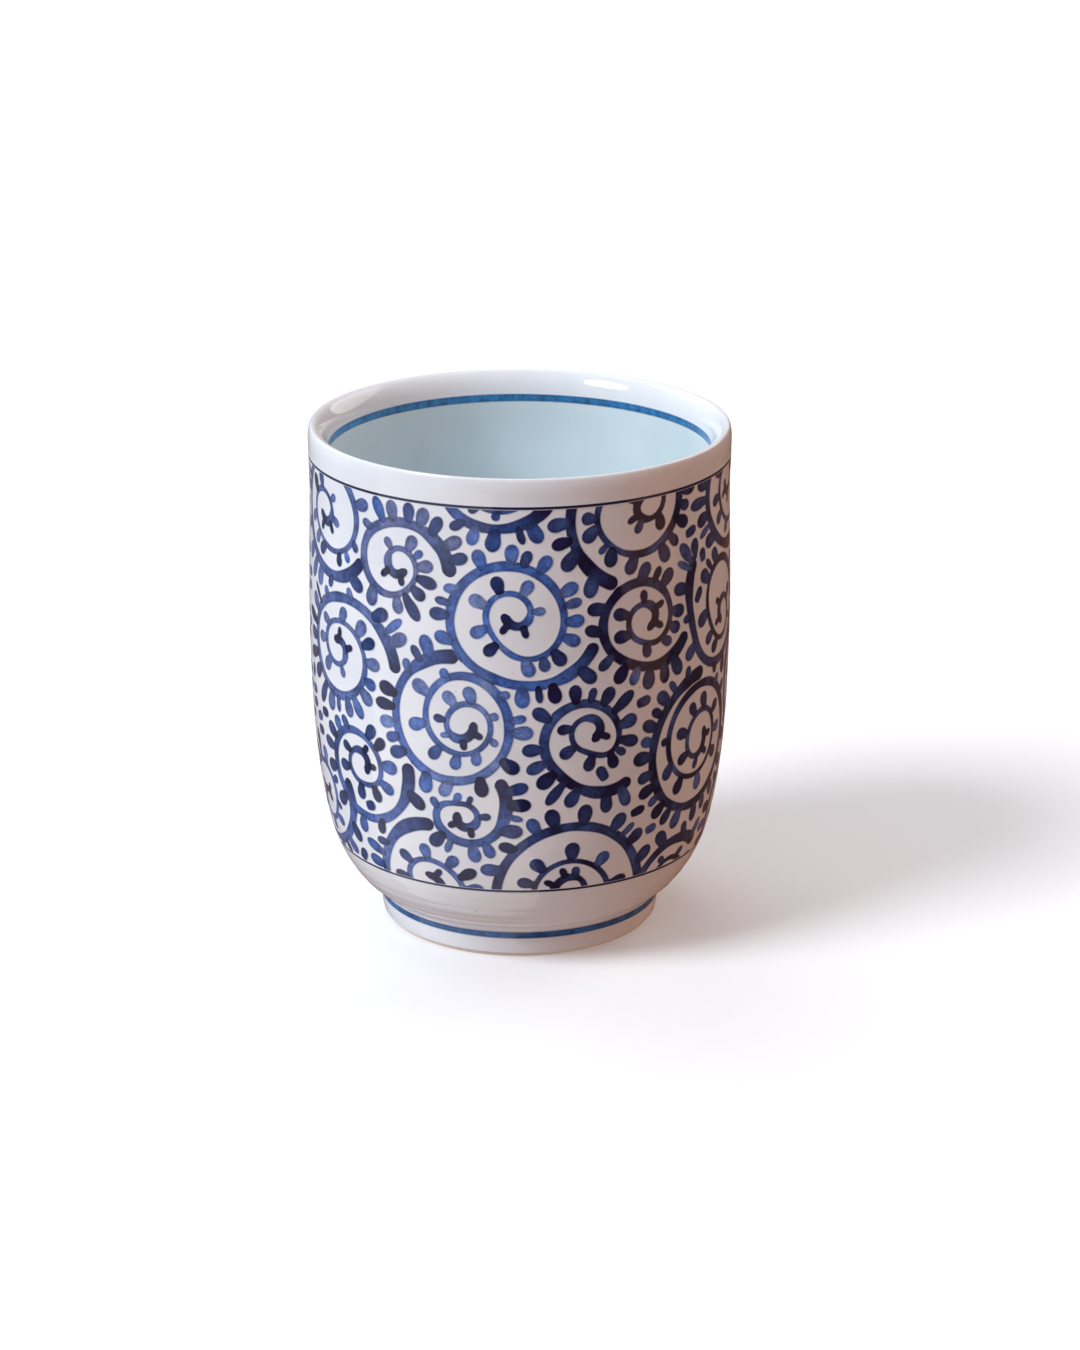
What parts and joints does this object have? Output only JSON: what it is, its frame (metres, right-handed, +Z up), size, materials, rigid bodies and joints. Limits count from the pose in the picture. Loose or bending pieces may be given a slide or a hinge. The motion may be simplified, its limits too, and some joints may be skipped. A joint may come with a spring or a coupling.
{
  "type": "teacup",
  "caption": "Tall handleless porcelain teacup with a rounded lip, a gently bellied wall and a low turned foot ring, painted with blue scrolls under clear glaze.",
  "frame": {"origin": "centre of the foot ring's flat resting edge, on the cup's axis", "axes": "+Z up along the cup's axis, which is also its longest extent; +X and +Y are any two directions across it, and -Y faces the viewer in the usual picture"},
  "size_m": [0.0704, 0.0704, 0.0861],
  "materials": {
    "porcelain": "white, fine, faintly blue",
    "bare_foot_clay": "white porcelain with a bare, sanded resting edge",
    "clear_glaze": "clear, glossy",
    "tinted_glaze": "clear, glossy, faint blue",
    "cobalt_line": "dark cobalt under glaze",
    "cobalt_band": "mid cobalt under glaze",
    "cobalt_wash": "brushed cobalt, light to dark, under glaze"
  },
  "bodies": {
    "root": {"porcelain_body": "porcelain", "foot_ring": "bare_foot_clay", "outer_glaze": "clear_glaze", "inner_glaze": "tinted_glaze", "foot_recess_glaze": "clear_glaze", "foot_band": "cobalt_band", "lower_border_line": "cobalt_line", "arabesque_layer": "cobalt_wash", "upper_border_line": "cobalt_line", "inner_rim_band": "cobalt_band"}
  },
  "joints": []
}
